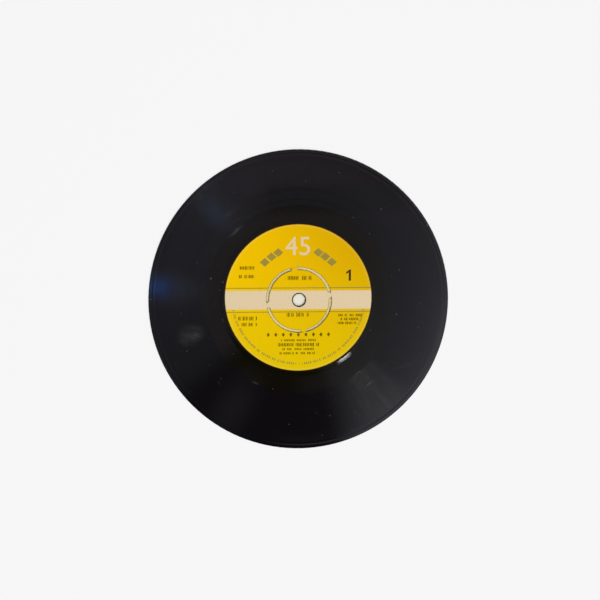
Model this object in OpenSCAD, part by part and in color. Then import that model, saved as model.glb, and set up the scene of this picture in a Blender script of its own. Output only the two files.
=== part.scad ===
// A seven inch, 45 rpm vinyl record with a push-out centre, lying with side A up.
// The origin is the middle of the spindle hole, on the surface that the record lies on.

/* [Record] */
// Outside diameter of the record
record_d = 175; // [172:0.5:178]
// Thickness over the two raised label areas
label_area_t = 1.8; // [1.6:0.05:2.2]
// Thickness of the grooved playing area
playing_t = 1.15; // [0.9:0.05:1.3]

/* [Rim] */
// Thickness over the two rim beads, which guard the grooves
rim_t = 1.5; // [1.4:0.05:1.6]
// Width of the flat top of a rim bead, up to the record's edge
bead_w = 1.9; // [1.4:0.1:2.4]
// Width of the slope from a rim bead down to the playing area
bead_slope_w = 0.7; // [0.5:0.1:1]
// Radius of the two rounded corners of the record's edge
edge_r = 0.5; // [0.2:0.05:0.65]

/* [Grooves] */
// How many turns of the recorded groove are drawn, each standing for a few of the real ones
groove_turns = 49; // [24:1:60]
// Width of a recorded groove at the surface
groove_w = 0.24; // [0.16:0.02:0.3]
// Depth of a recorded groove
groove_depth = 0.03; // [0.02:0.01:0.06]
// Width of the lead-in, from the foot of the rim bead to the outermost recorded groove
lead_in_w = 0.9; // [0.8:0.1:2]
// Diameter of the innermost recorded groove
last_groove_d = 109.6; // [107:0.2:112]
// Diameter of the locked groove, where the stylus ends
locked_groove_d = 98.4; // [98:0.2:100]
// Half turns of the lead-in groove, from the rim bead to the recorded grooves
lead_in_half_turns = 2; // [1:1:2]
// Half turns of the lead-out groove, from the recorded grooves to the locked groove
lead_out_half_turns = 3; // [2:1:6]
// Width of the lead-in and lead-out grooves
lead_groove_w = 0.3; // [0.2:0.02:0.4]
// Depth of the lead-in and lead-out grooves
lead_groove_depth = 0.07; // [0.04:0.01:0.1]

/* [Label area] */
// Diameter of the flat top of the raised label area
platform_d = 88; // [87:0.1:89.4]
// Width of the shoulder from the raised label area down to the playing area
shoulder_w = 2; // [1.2:0.1:2.2]
// Diameter of the paper label
label_d = 86; // [80:0.5:86.5]
// Thickness of the label paper
label_t = 0.1; // [0.06:0.01:0.16]
// How far the face of the label lies below the vinyl round it
label_inset = 0.01; // [0.01:0.01:0.03]
// How far the raised label area and its label lie to the right of the record's middle
label_shift_x = -0.4; // [-0.6:0.1:0.6]
// How far the raised label area and its label lie above the record's middle
label_shift_y = 1.3; // [-1.4:0.1:1.4]

/* [Push-out centre] */
// Diameter of the spindle hole
spindle_hole_d = 7.24; // [7.2:0.01:7.4]
// Diameter of the hole in the label, round the spindle hole
label_hole_d = 8.4; // [7.8:0.1:9]
// Diameter of the large hole that is left when the centre is pushed out
large_hole_d = 38.2; // [37.8:0.1:38.6]
// Width of the slots between the centre and the record
slot_w = 1.5; // [1.2:0.1:2.4]
// Number of webs that hold the centre
webs = 4; // [3:1:4]
// Turn of the webs from the record's axes, anticlockwise as side A is read
web_turn = 8.8; // [0:0.1:45]
// Width of a web where it leaves the centre
web_root_w = 3.4; // [2.6:0.1:4.4]
// Width of a web where it breaks off the record
web_tip_w = 1.7; // [1.2:0.1:2.4]

/* [Fits] */
// Gap between the tip of a web and the record, along the line where it breaks
break_gap = 0.06; // [0.06:0.01:0.12]
// Gap between the edge of a label and the vinyl beside it
label_gap = 0.08; // [0.06:0.01:0.12]

/* [Hidden] */
$fn = 180;

record_r = record_d / 2;
platform_r = platform_d / 2;
label_r = label_d / 2;
label_hole_r = label_hole_d / 2;
spindle_hole_r = spindle_hole_d / 2;
large_hole_r = large_hole_d / 2;
centre_r = large_hole_r - slot_w;

// The heights of the middle plane and of the playing surface of side A, how far the label area rises
// over the playing surface, and the depth of a label's seat
mid_z = label_area_t / 2;
playing_z = mid_z + playing_t / 2;
rise = label_area_t - playing_z;
label_seat = label_inset + label_t;

// The radii of the rim bead's two edges and of the grooves
bead_top_r = record_r - bead_w;
bead_foot_r = bead_top_r - bead_slope_w;
first_groove_r = bead_foot_r - lead_in_w;
last_groove_r = last_groove_d / 2;
locked_groove_r = locked_groove_d / 2;
groove_pitch = (first_groove_r - last_groove_r) / (groove_turns - 1);

// How far a cutter reaches past the face that it cuts
past = 1;
// How far the root of a web is sunk in the centre, and the raised label area in the disc
web_sink = 1;
area_sink = 0.2;

// The three points of a V groove, in a section whose radii run outwards
function v_groove(r) = [
    [r - groove_w / 2, playing_t / 2],
    [r, playing_t / 2 - groove_depth],
    [r + groove_w / 2, playing_t / 2],
];

// The upper half of the playing area's section, out to the edge, over the middle plane.
// The first and last turns of the recording are cut with the lead grooves.
function side_outline() = [
    [large_hole_r - past, playing_t / 2],
    for (turn = [1 : groove_turns - 2])
        each v_groove(last_groove_r + turn * groove_pitch),
    [bead_foot_r, playing_t / 2],
    [bead_top_r, rim_t / 2],
    [record_r, rim_t / 2],
];

function turned_over(points) = [
    for (i = [len(points) - 1 : -1 : 0])
        [points[i].x, -points[i].y]
];

// What a square corner loses to its rounding
module corner_cut(r) {
    difference() {
        square(r + past);
        circle(r = r);
    }
}

module disc_section() {
    difference() {
        polygon([each side_outline(), each turned_over(side_outline())]);
        for (side = [0, 1])
            mirror([0, side])
                translate([record_r - edge_r, rim_t / 2 - edge_r])
                    corner_cut(edge_r);
    }
}

module whole_turn(r) {
    difference() {
        circle(r = r + lead_groove_w / 2);
        circle(r = r - lead_groove_w / 2);
    }
}

// A groove that winds in from one radius to another, as half turns that each have a middle of their own.
// It winds anticlockwise, so it carries the stylus inwards while the record turns clockwise.
module winding(outer_r, inner_r, half_turns) {
    fall = (outer_r - inner_r) / half_turns;
    for (i = [0 : half_turns - 1])
        rotate(180 * i)
            intersection() {
                translate([fall / 2, 0])
                    whole_turn(outer_r - (i + 0.5) * fall);
                translate([-record_r, 0])
                    square([record_d, record_r]);
            }
}

// The lead-in, the first and last turns of the recording, the lead-out and the locked groove, in plan
module lead_grooves() {
    winding(bead_foot_r, first_groove_r, lead_in_half_turns);
    whole_turn(first_groove_r);
    whole_turn(last_groove_r);
    winding(last_groove_r, locked_groove_r, lead_out_half_turns);
    whole_turn(locked_groove_r);
}

// The raised label area of side A, whose slope goes on down into the disc
module raised_area() {
    translate([label_shift_x, label_shift_y, playing_z - area_sink])
        cylinder(r1 = platform_r + shoulder_w * (1 + area_sink / rise), r2 = platform_r,
            h = rise + area_sink);
}

// What side A loses to the seat of its label and to its lead grooves
module side_cuts() {
    translate([label_shift_x, label_shift_y, label_area_t - label_seat])
        cylinder(r = label_r + label_gap, h = label_seat + past);
    translate([0, 0, playing_z - lead_groove_depth])
        linear_extrude(lead_groove_depth + past)
            lead_grooves();
}

// Turns over to side B what is drawn for side A
module on_side_b() {
    translate([0, 0, label_area_t])
        rotate([180, 0, 0])
            children();
}

module vinyl_disc() {
    color("#141416")
        difference() {
            union() {
                translate([0, 0, mid_z])
                    rotate_extrude()
                        disc_section();
                raised_area();
                on_side_b()
                    raised_area();
            }
            translate([0, 0, -past])
                cylinder(r = large_hole_r, h = label_area_t + 2 * past);
            side_cuts();
            on_side_b()
                side_cuts();
        }
}

// The plan of the centre and of its webs, which taper to the line where they break
module centre_plan() {
    circle(r = centre_r);
    intersection() {
        circle(r = large_hole_r - break_gap);
        for (i = [0 : webs - 1])
            rotate(web_turn + i * 360 / webs)
                polygon([
                    [centre_r - web_sink, -web_root_w / 2],
                    [centre_r, -web_root_w / 2],
                    [large_hole_r, -web_tip_w / 2],
                    [large_hole_r, web_tip_w / 2],
                    [centre_r, web_root_w / 2],
                    [centre_r - web_sink, web_root_w / 2],
                ]);
    }
}

// The vinyl between the two labels, with a lip round the spindle hole that is as thick as the label area
module push_out_centre() {
    color("#141416")
        difference() {
            union() {
                translate([0, 0, label_seat])
                    linear_extrude(label_area_t - 2 * label_seat)
                        centre_plan();
                cylinder(r = label_hole_r - label_gap, h = label_area_t);
            }
            translate([0, 0, -past])
                cylinder(r = spindle_hole_r, h = label_area_t + 2 * past);
        }
}

// The part of side A's label that stays on the record when the centre is pushed out
module label_ring() {
    translate([0, 0, label_area_t - label_seat])
        difference() {
            translate([label_shift_x, label_shift_y, 0])
                cylinder(r = label_r, h = label_t);
            translate([0, 0, -past])
                cylinder(r = large_hole_r, h = label_t + 2 * past);
        }
}

// The part of a label that is cut through with the centre, as seen from above on either side
module label_centre() {
    linear_extrude(label_t)
        difference() {
            centre_plan();
            circle(r = label_hole_r);
        }
}

module side_a_label_ring() {
    color("#e4b810")
        label_ring();
}

module side_a_label_centre() {
    color("#e4b810")
        translate([0, 0, label_area_t - label_seat])
            label_centre();
}

module side_b_label_ring() {
    color("#e4b810")
        on_side_b()
            label_ring();
}

module side_b_label_centre() {
    color("#e4b810")
        translate([0, 0, label_inset])
            label_centre();
}

vinyl_disc();
push_out_centre();
side_a_label_ring();
side_a_label_centre();
side_b_label_ring();
side_b_label_centre();
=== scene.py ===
"""Looks of a seven inch vinyl record with a push-out centre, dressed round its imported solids.

Lengths are in metres, and in millimetres where a name ends in MM and in tables that say so.
Angles on the record are in degrees, clockwise from the top of side A.
"""
import math

import bpy
from mathutils import Matrix, Vector


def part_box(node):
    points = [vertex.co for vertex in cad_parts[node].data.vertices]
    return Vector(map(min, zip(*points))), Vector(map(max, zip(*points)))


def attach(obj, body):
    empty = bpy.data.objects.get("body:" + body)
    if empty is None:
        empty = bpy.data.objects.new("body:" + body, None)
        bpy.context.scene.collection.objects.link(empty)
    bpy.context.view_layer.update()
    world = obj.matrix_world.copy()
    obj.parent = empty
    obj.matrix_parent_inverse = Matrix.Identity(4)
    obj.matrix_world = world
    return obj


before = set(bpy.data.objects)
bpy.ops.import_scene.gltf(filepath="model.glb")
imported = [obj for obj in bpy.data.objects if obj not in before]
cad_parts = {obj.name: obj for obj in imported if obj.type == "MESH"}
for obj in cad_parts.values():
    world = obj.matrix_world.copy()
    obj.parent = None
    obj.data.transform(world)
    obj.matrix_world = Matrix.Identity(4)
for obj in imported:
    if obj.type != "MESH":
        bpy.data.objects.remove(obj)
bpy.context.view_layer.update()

MM = 0.001

# Sizes that come from the frame
RECORD_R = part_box("vinyl_disc")[1].x
TOP_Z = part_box("vinyl_disc")[1].z
LABEL_LOW, LABEL_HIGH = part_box("side_a_label_ring")
LABEL_R = (LABEL_HIGH.x - LABEL_LOW.x) / 2
LABEL_X = (LABEL_HIGH.x + LABEL_LOW.x) / 2
LABEL_Y = (LABEL_HIGH.y + LABEL_LOW.y) / 2
LABEL_Z = LABEL_HIGH.z

# Sizes as the part's source has them
GROOVES_INNER_R_MM = 54.8
BEAD_INNER_R_MM = 84.9
SHOULDER_R_MM = 45.0
SLOT_R_MM = 18.35
SLOT_W_MM = 1.5
WEB_TURN = 8.8

# Colours of the record, as linear light
VINYL = (0.0040, 0.0032, 0.0014)
VINYL_GROOVED = (0.0029, 0.0025, 0.0031)
# A pale grey for dust, marks and painted glints
DUST_AND_GLINTS = (0.22, 0.22, 0.22)
YELLOW = (0.87, 0.530, 0.0005)
# A darker yellow, for painted shade on the label and for its darker fibres
YELLOW_SHADED_AND_AGED = (0.62, 0.345, 0.001)
YELLOW_GREEN = (0.70, 0.50, 0.001)
CREAM = (0.70, 0.565, 0.355)
PAPER = (0.80, 0.77, 0.68)
OLIVE = (0.235, 0.205, 0.050)
INK = (0.052, 0.033, 0.002)
# A near-black, for the labels' dark rim and for painted shade beside the slots
DARK_RIM_AND_SLOT_SHADE = (0.030, 0.014, 0.002)

# Roughness of the vinyl, and what loud passages, grime and the smooth rim bead change
SMOOTH_ROUGHNESS = 0.15
GROOVE_ROUGHNESS = 0.17
LOUD_ROUGHNESS = 0.08
GRIME_ROUGHNESS = 0.04
BEAD_GLOSS = 0.09
# How far the shoulder's slope is rounded, as a share of the bump's depth
SHOULDER_ROUNDING = 1.5

# A finger mark in the west
FINGER_AZIMUTH = 252.5
FINGER_R_MM = 66
FINGER_HALF_LENGTH_MM = 8.0
FINGER_HALF_ANGLE = 5.5
FINGER_STRENGTH = 0.075

# Small scuffs on side A, in millimetres: azimuth, radius, lean, half length, half width, strength. The
# first two rows are painted highlights: glints where the grooves end.
SCUFFS_AND_GLINTS = (
    (317.9, 54.3, 0, 6.3, 1.2, 0.10),
    (207.8, 54.8, 0, 2.8, 0.8, 0.09),
    (255.4, 45.9, 0, 1.7, 0.5, 0.09),
    (284.0, 52.8, 0, 0.8, 0.7, 0.30),
    (283.5, 45.6, 0, 0.8, 0.7, 0.20),
    (224.2, 67.2, 20, 1.5, 1.1, 0.03),
    (230.2, 82.9, 0, 1.4, 1.0, 0.02),
    (141.3, 55.1, 0, 2.8, 0.5, 0.10),
    (140.3, 64.5, 4, 4.0, 0.5, 0.14),
    (123.8, 72.0, 40, 9.0, 0.35, 0.05),
    (121.0, 75.0, 43, 8.0, 0.35, 0.05),
    (92.0, 71.0, 0, 1.0, 0.4, 0.09),
    (113.5, 45.4, 10, 0.9, 0.5, 0.10),
)

# Print on a label, from the label's middle, apart from the band and pinstripes, which lie about the hole
PRINT_EDGE_MM = 0.14
BAND_HALF_W_MM = 5.4
PINSTRIPE_Y_MM = 7.0
PINSTRIPE_HALF_W_MM = 0.28

# Two chains of olive diamonds that fall away on both sides of the speed
SPEED_Y_MM = 29.5
SPEED_HEIGHT_MM = 15.5
CHAIN_PLACES = (3, 4, 5)
CHAIN_STEP_MM = 3.9
CHAIN_FALL_MM = 0.35
CHAIN_HALF_MM = (3.0, 2.6)

# The border of olive strokes round the lower half, and how far it reaches from the bottom
BORDER_R_MM = 38.6
BORDER_HALF_W_MM = 0.7
BORDER_REACH = 82
BORDER_STEP_MM = 1.3
BORDER_STROKE_HALF_W_MM = 0.38

# The row of dark diamonds that stands for a title
TITLE_PLACES = range(-4, 5)
TITLE_Y_MM = -21.6
TITLE_STEP_MM = 4.4
TITLE_HALF_MM = (0.95, 1.35)

# Rows of short strokes that stand for small print, in millimetres: x, y, half width, half height
STROKE_STEP_MM = 0.95
STROKE_HALF_W_MM = 0.31
ROW_SHIFT = 7.3
SMALL_PRINT = (
    (0, -24.9, 10.2, 0.55),
    (0, -27.5, 12.0, 0.85),
    (0, -30.1, 9.4, 0.55),
    (0, -32.5, 11.0, 0.6),
    (-29.5, 17.5, 4.8, 0.85),
    (-30, 12.5, 4.6, 0.85),
    (-29.5, -12.0, 5.6, 1.0),
    (-28.5, -15.5, 4.6, 0.85),
    (30.0, -10.4, 7.0, 0.65),
    (30.0, -12.7, 7.0, 0.65),
    (29.0, -15.0, 6.2, 0.65),
    (0, 11.5, 7.8, 1.0),
    (0, -10.0, 6.8, 1.0),
)

# Shades of the yellow: painted shade that makes it duller towards the upper right, random duller patches,
# and a greener lower half
SHADE_AZIMUTH = 70
SHADE_PER_MM = 0.012
SHADE_IN_MIDDLE = 0.36
DULL_PATCHES = 0.3
GREEN_PER_MM = 0.014
GREEN_IN_MIDDLE = 0.35

# A dark rim and a faint pale line at the paper's outer edge, painted shade along the slots' edges, and a
# ring pressed in round the spindle hole
DARK_RIM_R_MM = 42.65
PALE_LINE_R_MM = 42.0
PRESS_RING_R_MM = 5.6
SLOT_SHADE_HALF_W_MM = 0.1
# Half the width of the paper that stays unshaded where a web crosses the slots
WEB_UNSHADED_MM = 1.6

# The number of the side, and the ink of all numbers, which is sunk a little in the paper
NUMBER_X_MM, NUMBER_Y_MM = 30, 13
NUMBER_HEIGHT_MM = 9
TWO_WEIGHT_MM = 0.15
INK_T = 0.009 * MM
INK_SUNK = 0.002 * MM
# A figure one with a flag, which the built-in font lacks, in shares of its height
ONE_CORNERS = (
    (-0.07, -0.36),
    (0.08, -0.36),
    (0.08, 0.36),
    (-0.04, 0.36),
    (-0.23, 0.20),
    (-0.23, 0.07),
    (-0.07, 0.18),
)

# The floor, whose colour under the record is that of the light that gets there
FLOOR_COLOUR = (0.92, 0.92, 0.92, 1)
FLOOR_IN_HOLE = (0.80, 0.77, 0.64)
FLOOR_IN_SLOTS = (0.87, 0.72, 0.33)
FLOOR_GLOW = 0.85
FLOOR_HOLE_R = 10 * MM
FLOOR_UNDER_R = 70 * MM
FLOOR_HALF = 3.0
FLOOR_DROP = 0.05 * MM

# The camera of the photograph, nearly straight above, and the width of its picture and its record
CAMERA_AZIMUTH, CAMERA_TILT = 322, 7
CAMERA_DISTANCE = 1.2
CAMERA_AIM = Vector((0.55 * MM, -0.06 * MM, TOP_Z))
PHOTO_PX = 600
RECORD_PX = 300.8

# Colours of the room that the vinyl mirrors
ROOM_EAST = (0.95, 0.95, 1.06)
ROOM_WEST = (0.96, 0.92, 1.12)
ROOM_NORTH = (1.04, 0.88, 1.04)
SHELF = (0.92, 1.0, 0.97)
WINDOW = (0.99, 1.0, 0.91)
BLUE_LAMP = (0.10, 0.30, 1.0)
TEAL_LAMP = (0.20, 0.56, 1.1)

# Light of the room's parts, as strengths, and how much the dark parts take away
BASE_LIGHT = 0.185
WEST_LIGHT = 0.04
EAST_LIGHT = 0.72
NORTH_LIGHT = 0.11
HORIZON_LIGHT = 0.15
GROOVE_LIGHT = 0.48
BEAD_LIGHT = 0.8
SHOULDER_LIGHT = 0.125
WINDOW_LIGHT = 1.75
BLUE_LIGHT = 1.2
TEAL_LIGHT = 0.6
SOUTH_SHADE = 0.98
SHELF_SHADE = 0.5
SHELF_EDGE_SHADE = 0.42

# Places in the room are where the photograph's camera sees them in flat vinyl, in millimetres
FULL_EAST_R_MM = 85
NORTH_INNER_R_MM = 62
NEAR_R_MM = 160
SHELF_X_MM, SHELF_Y_MM = 19, 58.7
SHELF_HALF_W_MM, SHELF_HALF_H_MM = 37.5, 7.4
# The dark edge inside the shelf's outline: middle, half width, soft edge
SHELF_EDGE = (-1.1, 0.9, 1.0)
# The groove walls and the slope of the rim bead see the room round this place
WALLS_X_MM, WALLS_Y_MM = 21, -27

# Sectors of the room: azimuth, half angle, soft edge
SOUTH_SECTOR = (197, 36, 14)
EAST_SECTOR = (125, 52, 104)
NORTH_SECTOR = (8, 42, 36)
NOT_GROOVE_SECTOR = (20, 70, 80)
BEAD_SECTOR = (318, 44, 30)
NOT_SHOULDER_SECTOR = (192, 50, 20)
WINDOW_SECTOR = (141.5, 7.5, 15)

# Rings of the room, in millimetres: radius, half width, soft edge
GROOVE_RING = (578, 44, 14)
BEAD_RING = (534, 10, 12)
SHOULDER_RING = (448, 55, 30)
WINDOW_RING = (806, 75, 60)

# Soft spots of the room, in millimetres: azimuth, radius, half length outwards, half width, strength
BLUE_SPOTS = ((275.8, 82.5, 8.5, 6.5, 2.7), (275.5, 78, 24, 10, 0.6))
TEAL_SPOTS = ((316, 71, 16, 8, 1.3),)
PALE_SPOTS = ((212, 74, 27, 14, 0.22), (172, 50, 8, 12, 0.10), (317.5, 83.5, 5, 14, 0.14))
DARK_SPOTS = ((337, 60, 9, 16, 0.3),)


class Field:
    """A number that varies over a surface, held as the output of a shader node."""

    def __init__(self, tree, socket):
        self.tree = tree
        self.socket = socket

    def math(self, operation, *others):
        node = self.tree.nodes.new("ShaderNodeMath")
        node.operation = operation
        for place, value in enumerate((self, *others)):
            if isinstance(value, Field):
                self.tree.links.new(value.socket, node.inputs[place])
            else:
                node.inputs[place].default_value = value
        return Field(self.tree, node.outputs[0])

    def __add__(self, other):
        return self.math("ADD", other)

    def __sub__(self, other):
        return self.math("SUBTRACT", other)

    def __mul__(self, other):
        return self.math("MULTIPLY", other)

    def __truediv__(self, other):
        return self.math("DIVIDE", other)

    def __abs__(self):
        return self.math("ABSOLUTE")

    def least(self, other):
        return self.math("MINIMUM", other)

    def most(self, other):
        return self.math("MAXIMUM", other)

    def wave(self, period):
        """Distance to the nearest whole number of periods."""
        return self.math("PINGPONG", period / 2)

    def below(self, limit, soft):
        """1 under the limit and 0 over it, with an edge as wide as soft."""
        node = self.tree.nodes.new("ShaderNodeMapRange")
        node.interpolation_type = "SMOOTHSTEP"
        self.tree.links.new(self.socket, node.inputs["Value"])
        node.inputs["From Min"].default_value = limit - soft / 2
        node.inputs["From Max"].default_value = limit + soft / 2
        node.inputs["To Min"].default_value = 1
        node.inputs["To Max"].default_value = 0
        return Field(self.tree, node.outputs["Result"])

    def near(self, middle, half_width, soft):
        """1 within half a width of the middle, with an edge as wide as soft on each side."""
        return abs(self - middle).below(half_width, soft)

    def inverted(self):
        return self * -1 + 1

    def drive(self, socket):
        self.tree.links.new(self.socket, socket)


def length(x, y):
    return (x * x + y * y).math("SQRT")


def turned(x, y, degrees):
    """How far a place lies along and to the right of a direction that is clockwise from the top."""
    towards_x = math.sin(math.radians(degrees))
    towards_y = math.cos(math.radians(degrees))
    return x * towards_x + y * towards_y, x * towards_y - y * towards_x


def angle_from(x, y, degrees):
    """Angle between a place and a direction, from 0 to pi."""
    along, across = turned(x, y, degrees)
    return abs(across).math("ARCTAN2", along)


def sector(x, y, degrees, half_angle, soft):
    """1 within half an angle of a direction, with an edge as wide as soft, in degrees."""
    return angle_from(x, y, degrees).below(math.radians(half_angle), math.radians(soft))


def blot(along, across, half_length, half_width):
    """A round or oval spot that fades all the way out from its middle."""
    return length(along * (1 / half_length), across * (1 / half_width)).below(0.6, 1.2)


def together(masks):
    """What any of the masks covers."""
    total, *others = masks
    for mask in others:
        total = total.most(mask)
    return total


class Pattern:
    """The coordinates of a shader tree, and the node calls that a pattern over them needs."""

    def __init__(self, tree, coordinates):
        self.tree = tree
        self.coordinates = tree.nodes.new("ShaderNodeTexCoord")
        self.place = self.coordinates.outputs[coordinates]
        self.x, self.y, self.z = self.split(self.place)

    def split(self, vector):
        node = self.tree.nodes.new("ShaderNodeSeparateXYZ")
        self.tree.links.new(vector, node.inputs[0])
        return [Field(self.tree, node.outputs[axis]) for axis in "XYZ"]

    def noise(self, scale, detail=2.0, roughness=0.5, stretch=(1, 1, 1)):
        mapping = self.tree.nodes.new("ShaderNodeMapping")
        mapping.inputs["Scale"].default_value = stretch
        self.tree.links.new(self.place, mapping.inputs["Vector"])
        node = self.tree.nodes.new("ShaderNodeTexNoise")
        node.inputs["Scale"].default_value = scale
        node.inputs["Detail"].default_value = detail
        node.inputs["Roughness"].default_value = roughness
        self.tree.links.new(mapping.outputs[0], node.inputs["Vector"])
        return Field(self.tree, node.outputs["Fac"])

    def noise_along(self, field, scale, detail):
        node = self.tree.nodes.new("ShaderNodeTexNoise")
        node.noise_dimensions = "1D"
        node.inputs["Scale"].default_value = scale
        node.inputs["Detail"].default_value = detail
        field.drive(node.inputs["W"])
        return Field(self.tree, node.outputs["Fac"])

    def words(self, along):
        """Uneven groups along a row, with gaps between them like those between words."""
        return self.noise_along(along, 0.5, detail=1).below(0.58, 0.03)

    def mix(self, mask, low, high):
        """A colour that goes from low to high with the mask. Each is a colour or a socket."""
        node = self.tree.nodes.new("ShaderNodeMix")
        node.data_type = "RGBA"
        mask.drive(node.inputs["Factor"])
        for socket, colour in ((node.inputs[6], low), (node.inputs[7], high)):
            if isinstance(colour, tuple):
                socket.default_value = (*colour, 1)
            else:
                self.tree.links.new(colour, socket)
        return node.outputs[2]


class Coat(Pattern):
    """A material with one Principled shader."""

    def __init__(self, name, **settings):
        self.material = bpy.data.materials.new(name)
        self.material.use_nodes = True
        super().__init__(self.material.node_tree, "Object")
        self.shader = self.tree.nodes["Principled BSDF"]
        for socket, value in settings.items():
            self.shader.inputs[socket.replace("_", " ")].default_value = value

    def paint(self, colour):
        self.tree.links.new(colour, self.shader.inputs["Base Color"])

    def bump(self, height, depth, strength):
        node = self.tree.nodes.new("ShaderNodeBump")
        node.inputs["Strength"].default_value = strength
        node.inputs["Distance"].default_value = depth
        height.drive(node.inputs["Height"])
        self.tree.links.new(node.outputs[0], self.shader.inputs["Normal"])


def finger_mark(coat, x, y):
    """A smear of grease on the gloss, at places in millimetres."""
    along = (length(x, y) - FINGER_R_MM) * (1 / FINGER_HALF_LENGTH_MM)
    across = angle_from(x, y, FINGER_AZIMUTH) * (1 / math.radians(FINGER_HALF_ANGLE))
    smear = (coat.noise(330, detail=3, stretch=(0.3, 1, 1)) * 3.2 - 0.8).most(0)
    return length(along, across).below(0.8, 0.9) * smear * FINGER_STRENGTH


def pale_streak(x, y, azimuth, distance, lean, half_length, half_width, strength):
    """A faint line that lies along the groove, or leans from it."""
    outwards, across = turned(x, y, azimuth)
    along, across = turned(across, outwards - distance, 90 + lean)
    return blot(along, across, half_length, half_width) * strength


def vinyl():
    """Black pressed vinyl: a mirror gloss over grooves that smear light outwards, with dust, marks and
    two painted glints.
    """
    coat = Coat("vinyl", IOR=1.5, Specular_IOR_Level=0.08, Anisotropic=1.0, Anisotropic_Rotation=0.25,
                Coat_Weight=1.0, Coat_Roughness=0.035)
    tangent = coat.tree.nodes.new("ShaderNodeTangent")
    tangent.direction_type = "RADIAL"
    tangent.axis = "Z"
    coat.tree.links.new(tangent.outputs[0], coat.shader.inputs["Tangent"])

    x = coat.x * (1 / MM)
    y = coat.y * (1 / MM)
    radius = length(x, y)
    grooved = radius.below(GROOVES_INNER_R_MM, 0.6).inverted()
    bead = radius.below(BEAD_INNER_R_MM, 0.5).inverted()
    grime = coat.noise(60, detail=5, roughness=0.62)
    loudness = coat.noise_along(radius, 0.9, detail=4)
    roughness = grooved * (GROOVE_ROUGHNESS - SMOOTH_ROUGHNESS) + SMOOTH_ROUGHNESS
    roughness = roughness + (loudness - 0.5) * grooved * LOUD_ROUGHNESS + (grime - 0.5) * GRIME_ROUGHNESS
    roughness = roughness - bead * BEAD_GLOSS
    roughness.drive(coat.shader.inputs["Roughness"])

    dust = coat.noise(620, detail=1).below(0.208, 0.01) * 0.4
    # Pale marks: a finger mark, scuffs, and two painted glints where the grooves end
    marks = together([finger_mark(coat, x, y), *(pale_streak(x, y, *row) for row in SCUFFS_AND_GLINTS)])
    body = coat.mix(grooved, VINYL, VINYL_GROOVED)
    coat.paint(coat.mix(dust.most(marks), body, DUST_AND_GLINTS))

    # The shoulder round the label is slightly rounded across its width
    from_ridge = abs(radius - SHOULDER_R_MM).least(1)
    waves = coat.noise(45, detail=3)
    coat.bump(waves - from_ridge * from_ridge * SHOULDER_ROUNDING, 0.02 * MM, strength=0.25)
    return coat.material


def diamond(x, y, centre_x, centre_y, half_x, half_y):
    reach = abs(x - centre_x) * (1 / half_x) + abs(y - centre_y) * (1 / half_y)
    return reach.below(1, PRINT_EDGE_MM / half_y)


def small_print(coat, x, y, centre_x, centre_y, half_x, half_y):
    """A row of short strokes in uneven groups, which stands for print without saying anything."""
    # Each row starts elsewhere in the noise, so that no two rows are alike
    along = x + centre_y * ROW_SHIFT
    strokes = along.wave(STROKE_STEP_MM).below(STROKE_HALF_W_MM, PRINT_EDGE_MM)
    taller = coat.noise_along(along, 1.9, detail=0).below(0.45, 0.02) * (half_y * 0.35)
    height = (abs(y - centre_y) - half_y - taller).below(0, PRINT_EDGE_MM)
    return x.near(centre_x, half_x, PRINT_EDGE_MM) * height * strokes * coat.words(along)


def olive_print(coat, x, y, from_hole_x, from_hole_y):
    """Pinstripes beside the band, chains of diamonds beside the speed, and the border."""
    pinstripes = abs(from_hole_y).near(PINSTRIPE_Y_MM, PINSTRIPE_HALF_W_MM, PRINT_EDGE_MM)
    chains = [
        diamond(x, y, step * place, SPEED_Y_MM - CHAIN_FALL_MM * place * place, *CHAIN_HALF_MM)
        for place in CHAIN_PLACES
        for step in (-CHAIN_STEP_MM, CHAIN_STEP_MM)
    ]
    around = angle_from(from_hole_x, from_hole_y, 180) * (LABEL_R / MM)
    strokes = around.wave(BORDER_STEP_MM).below(BORDER_STROKE_HALF_W_MM, PRINT_EDGE_MM)
    reached = around.below(math.radians(BORDER_REACH) * LABEL_R / MM, PRINT_EDGE_MM)
    on_border = length(x, y).near(BORDER_R_MM, BORDER_HALF_W_MM, PRINT_EDGE_MM)
    return together([pinstripes, *chains, strokes * coat.words(around) * on_border * reached])


def black_print(coat, x, y):
    """The row of diamonds and the rows of small print."""
    title = [diamond(x, y, TITLE_STEP_MM * place, TITLE_Y_MM, *TITLE_HALF_MM) for place in TITLE_PLACES]
    return together([*title, *(small_print(coat, x, y, *row) for row in SMALL_PRINT)])


def slot_edge_shade(from_hole_x, from_hole_y, side):
    """Painted shade along both edges of the slots, but not at the webs."""
    web_x, web_y = turned(from_hole_x, from_hole_y, -WEB_TURN * side)
    beside_webs = abs(web_x).least(abs(web_y)).below(WEB_UNSHADED_MM, 0.6).inverted()
    from_slot = abs(length(from_hole_x, from_hole_y) - SLOT_R_MM)
    return from_slot.near(SLOT_W_MM / 2 + SLOT_SHADE_HALF_W_MM, SLOT_SHADE_HALF_W_MM, 0.1) * beside_webs


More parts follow.
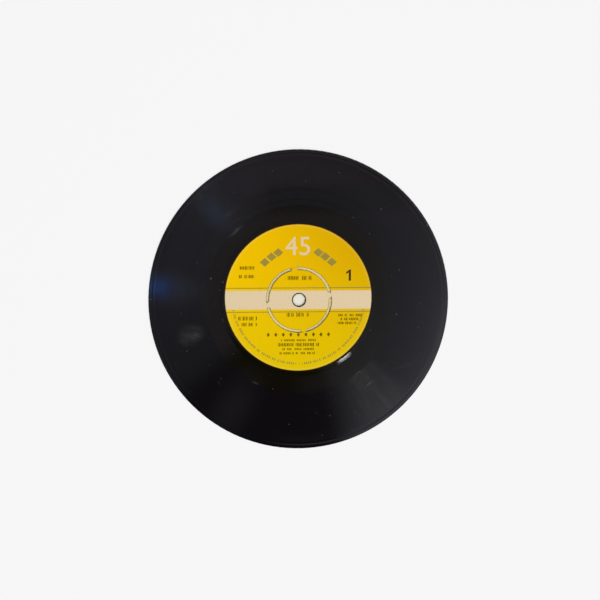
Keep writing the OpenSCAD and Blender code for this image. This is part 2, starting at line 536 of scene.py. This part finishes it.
def label_paper(name, side):
    """Printed label paper. Side is 1 for side A and -1 for side B, which is turned over about X."""
    coat = Coat(name, Roughness=0.6, Specular_IOR_Level=0.02)
    from_hole_x = coat.x * (1 / MM)
    from_hole_y = coat.y * (side / MM)
    x = from_hole_x - LABEL_X / MM
    y = from_hole_y - LABEL_Y / MM
    radius = length(x, y)
    fibres = coat.noise(1900, detail=3, roughness=0.7)
    mottle = coat.noise(170, detail=4, roughness=0.6)
    patches = coat.noise(22, detail=2)

    # Painted shade: the yellow darkens towards the upper right, with random duller patches on top
    towards_shade, _ = turned(x, y, SHADE_AZIMUTH)
    shade_and_tone = (towards_shade * SHADE_PER_MM + (patches - 0.5) * DULL_PATCHES + SHADE_IN_MIDDLE).most(0).least(1)
    green = (y * -GREEN_PER_MM + GREEN_IN_MIDDLE).most(0).least(1)
    colour = coat.mix(shade_and_tone, YELLOW, YELLOW_SHADED_AND_AGED)
    colour = coat.mix(green, colour, YELLOW_GREEN)

    # The print is a little worn, and the paper's fibres show through it
    band = abs(from_hole_y).below(BAND_HALF_W_MM, PRINT_EDGE_MM)
    worn = (mottle * 0.3).inverted()
    colour = coat.mix(band, colour, CREAM)
    olive = olive_print(coat, x, y, from_hole_x, from_hole_y)
    colour = coat.mix(olive * worn, colour, OLIVE)
    colour = coat.mix(black_print(coat, x, y) * worn, colour, INK)
    colour = coat.mix(fibres.below(0.40, 0.10) * 0.16, colour, YELLOW_SHADED_AND_AGED)

    # Along the edges of the paper: painted shade beside the slots, a faint pale line and a dark rim at
    # the outer edge
    slot_shade = slot_edge_shade(from_hole_x, from_hole_y, side) * (mottle * 0.8 + 0.5).least(1)
    # A faint pale line just inside the paper's outer edge
    colour = coat.mix(radius.near(PALE_LINE_R_MM, 0.35, 0.4) * 0.05, colour, PAPER)
    # A dark rim at the paper's outer edge
    colour = coat.mix(radius.below(DARK_RIM_R_MM, 0.3).inverted() * 0.93, colour, DARK_RIM_AND_SLOT_SHADE)
    # Painted shade beside the slots
    colour = coat.mix(slot_shade, colour, DARK_RIM_AND_SLOT_SHADE)

    # Bare paper shows on the cut edges
    facing = coat.split(coat.coordinates.outputs["Normal"])[2]
    coat.paint(coat.mix(abs(facing).below(0.5, 0.2), colour, PAPER))

    press_ring = length(from_hole_x, from_hole_y).near(PRESS_RING_R_MM, 0.25, 0.3)
    coat.bump(fibres * 0.3 + mottle * 0.2 - press_ring, 0.03 * MM, strength=0.6)
    return coat.material


def ink(name, colour):
    """Printing ink that lies on the paper, slightly uneven."""
    coat = Coat(name, Roughness=0.5, Specular_IOR_Level=0.1)
    patches = coat.noise(420, detail=4, roughness=0.65)
    lighter = tuple(channel * 0.8 + 0.04 for channel in colour)
    coat.paint(coat.mix(patches.below(0.42, 0.12), colour, lighter))
    return coat.material


def font_outline(digits, height, weight=0.0):
    curve = bpy.data.curves.new("digits", "FONT")
    curve.body = digits
    curve.size = height
    curve.offset = weight
    curve.align_x = "CENTER"
    curve.align_y = "CENTER"
    return curve


def drawn_one(height):
    curve = bpy.data.curves.new("digits", "CURVE")
    curve.dimensions = "2D"
    curve.fill_mode = "BOTH"
    outline = curve.splines.new("POLY")
    outline.points.add(len(ONE_CORNERS) - 1)
    for point, (x, y) in zip(outline.points, ONE_CORNERS):
        point.co = (x * height, y * height, 0, 1)
    outline.use_cyclic_u = True
    return curve


def numeral(name, curve, x, y, side, material):
    """A plain number in ink on a label, as seen from its own side and placed from the label's middle."""
    curve.extrude = INK_T / 2
    outline = bpy.data.objects.new(name + "_outline", curve)
    bpy.context.scene.collection.objects.link(outline)
    bpy.context.view_layer.update()
    mesh = bpy.data.meshes.new_from_object(outline.evaluated_get(bpy.context.evaluated_depsgraph_get()))
    bpy.data.objects.remove(outline)

    turn = Matrix.Identity(4) if side == 1 else Matrix.Rotation(math.pi, 4, "X")
    on_label = Vector((LABEL_X + x, LABEL_Y + y, LABEL_Z - TOP_Z / 2 + INK_T / 2 - INK_SUNK))
    mesh.transform(Matrix.Translation((0, 0, TOP_Z / 2)) @ turn @ Matrix.Translation(on_label))
    mesh.materials.clear()
    mesh.materials.append(material)
    piece = bpy.data.objects.new(name, mesh)
    bpy.context.scene.collection.objects.link(piece)
    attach(piece, "record")


def dress(node, material):
    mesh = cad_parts[node].data
    mesh.materials.clear()
    mesh.materials.append(material)


vinyl_material = vinyl()
dress("vinyl_disc", vinyl_material)
dress("push_out_centre", vinyl_material)

cream_ink = ink("cream_ink", CREAM)
black_ink = ink("black_ink", INK)
side_numbers = {
    "side_a": drawn_one(NUMBER_HEIGHT_MM * MM),
    "side_b": font_outline("2", NUMBER_HEIGHT_MM * MM, TWO_WEIGHT_MM * MM),
}
for side_name, side in (("side_a", 1), ("side_b", -1)):
    paper = label_paper(side_name + "_paper", side)
    dress(side_name + "_label_ring", paper)
    dress(side_name + "_label_centre", paper)
    speed = font_outline("45", SPEED_HEIGHT_MM * MM)
    number = side_numbers[side_name]
    numeral(side_name + "_speed", speed, 0, SPEED_Y_MM * MM, side, cream_ink)
    numeral(side_name + "_number", number, NUMBER_X_MM * MM, NUMBER_Y_MM * MM, side, black_ink)


def seen_by_camera(tree, kind, colour, share, surface, output):
    """Gives a share of what the camera sees directly a plain colour of its own."""
    glow = tree.nodes.new(kind)
    glow.inputs["Color"].default_value = colour
    mix = tree.nodes.new("ShaderNodeMixShader")
    camera_ray = Field(tree, tree.nodes.new("ShaderNodeLightPath").outputs["Is Camera Ray"])
    (camera_ray * share).drive(mix.inputs[0])
    tree.links.new(surface, mix.inputs[1])
    tree.links.new(glow.outputs[0], mix.inputs[2])
    tree.links.new(mix.outputs[0], output)


def floor_material():
    """A pale floor. Beyond the record, the camera sees most of it at its own colour."""
    coat = Coat("floor", Roughness=0.9, Specular_IOR_Level=0.0)
    radius = length(coat.x, coat.y)
    open_floor = radius.below(FLOOR_UNDER_R, 10 * MM).inverted()
    under = coat.mix(radius.below(FLOOR_HOLE_R, 4 * MM), FLOOR_IN_SLOTS, FLOOR_IN_HOLE)
    coat.paint(coat.mix(open_floor, under, FLOOR_COLOUR[:3]))
    output = coat.tree.nodes["Material Output"].inputs["Surface"]
    share = open_floor * FLOOR_GLOW
    seen_by_camera(coat.tree, "ShaderNodeEmission", FLOOR_COLOUR, share, coat.shader.outputs[0], output)
    return coat.material


floor_mesh = bpy.data.meshes.new("floor")
corners = [(x * FLOOR_HALF, y * FLOOR_HALF, -FLOOR_DROP) for x, y in ((-1, -1), (1, -1), (1, 1), (-1, 1))]
floor_mesh.from_pydata(corners, [], [(0, 1, 2, 3)])
floor_mesh.materials.append(floor_material())
floor = bpy.data.objects.new("floor", floor_mesh)
bpy.context.scene.collection.objects.link(floor)


def towards(azimuth, tilt):
    """The direction at an azimuth and a tilt from straight above, in degrees."""
    around, down = math.radians(azimuth), math.radians(tilt)
    return Vector((math.sin(down) * math.sin(around), math.sin(down) * math.cos(around), math.cos(down)))


backwards = towards(CAMERA_AZIMUTH, CAMERA_TILT)
camera_data = bpy.data.cameras.new("camera")
camera_data.lens = camera_data.sensor_width * (RECORD_PX / (2 * RECORD_R)) * CAMERA_DISTANCE / PHOTO_PX
camera = bpy.data.objects.new("camera", camera_data)
bpy.context.scene.collection.objects.link(camera)
right = Vector((0, 1, 0)).cross(backwards).normalized()
up = backwards.cross(right)
turn = Matrix((right, up, backwards)).transposed().to_4x4()
camera.matrix_world = Matrix.Translation(CAMERA_AIM + backwards * CAMERA_DISTANCE) @ turn
bpy.context.scene.camera = camera


def lamp(name, direction, distance, width, height, power):
    """A soft lamp that faces the record."""
    data = bpy.data.lights.new(name, "AREA")
    data.shape = "ELLIPSE"
    data.size = width
    data.size_y = height
    data.energy = power
    lamp_object = bpy.data.objects.new(name, data)
    turn = direction.to_track_quat("Z", "Y").to_matrix().to_4x4()
    lamp_object.matrix_world = Matrix.Translation(direction * distance) @ turn
    bpy.context.scene.collection.objects.link(lamp_object)
    return lamp_object


fill = lamp("fill", towards(0, 0), distance=1.4, width=2.6, height=2.6, power=18.5)
main = lamp("main", towards(135, 13), distance=1.5, width=0.4, height=0.4, power=9.6)
for soft_lamp in (fill, main):
    soft_lamp.visible_glossy = False
# The shoulder under the label mirrors this lamp as a small glint
lamp("spark", towards(142.5, 27.8), distance=3.0, width=0.23, height=0.042, power=0.43)


def spots(x, y, rows):
    """The sum of the soft spots in a table."""
    total = 0
    for azimuth, middle, half_length, half_width, strength in rows:
        along, across = turned(x, y, azimuth)
        total = blot(along - middle, across, half_length, half_width) * strength + total
    return total


def room():
    """A dim room, which the vinyl mirrors. It is lighter in the east and dark in the south."""
    world = bpy.data.worlds.new("room")
    world.use_nodes = True
    tree = world.node_tree
    sky = Pattern(tree, "Generated")

    # Where on flat vinyl the photograph's camera sees each direction mirrored, in millimetres
    height = sky.z.most(0.05)
    to_record = CAMERA_DISTANCE * backwards.z / MM
    x = sky.x / height * to_record + backwards.x * CAMERA_DISTANCE / MM
    y = sky.y / height * to_record + backwards.y * CAMERA_DISTANCE / MM
    outwards = length(x, y)

    # Walls that are lighter in the east and north and further out
    south = sector(x, y, *SOUTH_SECTOR)
    east = sector(x, y, *EAST_SECTOR)
    north = sector(x, y, *NORTH_SECTOR) * outwards.below(NORTH_INNER_R_MM, 8).inverted()
    growth = (outwards * (1 / FULL_EAST_R_MM)).math("POWER", 4).least(1.3)
    level = (east * EAST_LIGHT + WEST_LIGHT) * growth + north * NORTH_LIGHT + BASE_LIGHT

    # The dark south, and a dark shelf with an edge, which fades to the east
    shelf_reach = (abs(x - SHELF_X_MM) - SHELF_HALF_W_MM).most(abs(y - SHELF_Y_MM) - SHELF_HALF_H_MM)
    shelf = shelf_reach.below(0, 3)
    shelf_edge = shelf_reach.near(*SHELF_EDGE)
    fading = x.below(30, 56) * 0.6 + 0.4
    shelf_shade = (shelf * SHELF_SHADE + shelf_edge * SHELF_EDGE_SHADE) * fading
    level = level * shelf_shade.inverted() * (south * SOUTH_SHADE).inverted()
    level = level * spots(x, y, DARK_SPOTS).inverted()
    level = level * (outwards.below(NEAR_R_MM, 100) * 0.85 + 0.15)

    # What only slopes mirror: rings for the groove walls, the slope of the rim bead and the shoulder
    walls_see = length(x - WALLS_X_MM, y - WALLS_Y_MM)
    groove_ring = walls_see.near(*GROOVE_RING) * sector(x, y, *NOT_GROOVE_SECTOR).inverted()
    bead_ring = walls_see.near(*BEAD_RING) * sector(x, y, *BEAD_SECTOR)
    shoulder_ring = outwards.near(*SHOULDER_RING) * sector(x, y, *NOT_SHOULDER_SECTOR).inverted()
    level = level + groove_ring * GROOVE_LIGHT + bead_ring * BEAD_LIGHT + shoulder_ring * SHOULDER_LIGHT
    level = level + sky.z.below(0.45, 0.5) * HORIZON_LIGHT

    # A curtained window and coloured lamps
    window = sector(x, y, *WINDOW_SECTOR) * outwards.near(*WINDOW_RING)
    folds = ((sky.noise(26, detail=4) - 0.5) * 3.6 + 1).most(0.1)
    blue = spots(x, y, BLUE_SPOTS)
    teal = spots(x, y, TEAL_SPOTS)
    level = level + window * folds * WINDOW_LIGHT
    level = level + blue * BLUE_LIGHT + teal * TEAL_LIGHT + spots(x, y, PALE_SPOTS)

    colour = sky.mix(x.below(20, 120), ROOM_EAST, ROOM_WEST)
    colour = sky.mix(north, colour, ROOM_NORTH)
    colour = sky.mix(shelf, colour, SHELF)
    colour = sky.mix(window, colour, WINDOW)
    colour = sky.mix(blue.least(1), colour, BLUE_LAMP)
    colour = sky.mix(teal.least(1) * 0.7, colour, TEAL_LAMP)

    background = tree.nodes["Background"]
    tree.links.new(colour, background.inputs["Color"])
    level.drive(background.inputs["Strength"])
    output = tree.nodes["World Output"].inputs["Surface"]
    seen_by_camera(tree, "ShaderNodeBackground", FLOOR_COLOUR, 1, background.outputs[0], output)
    return world


bpy.context.scene.world = room()

bpy.context.scene.view_settings.view_transform = "Standard"
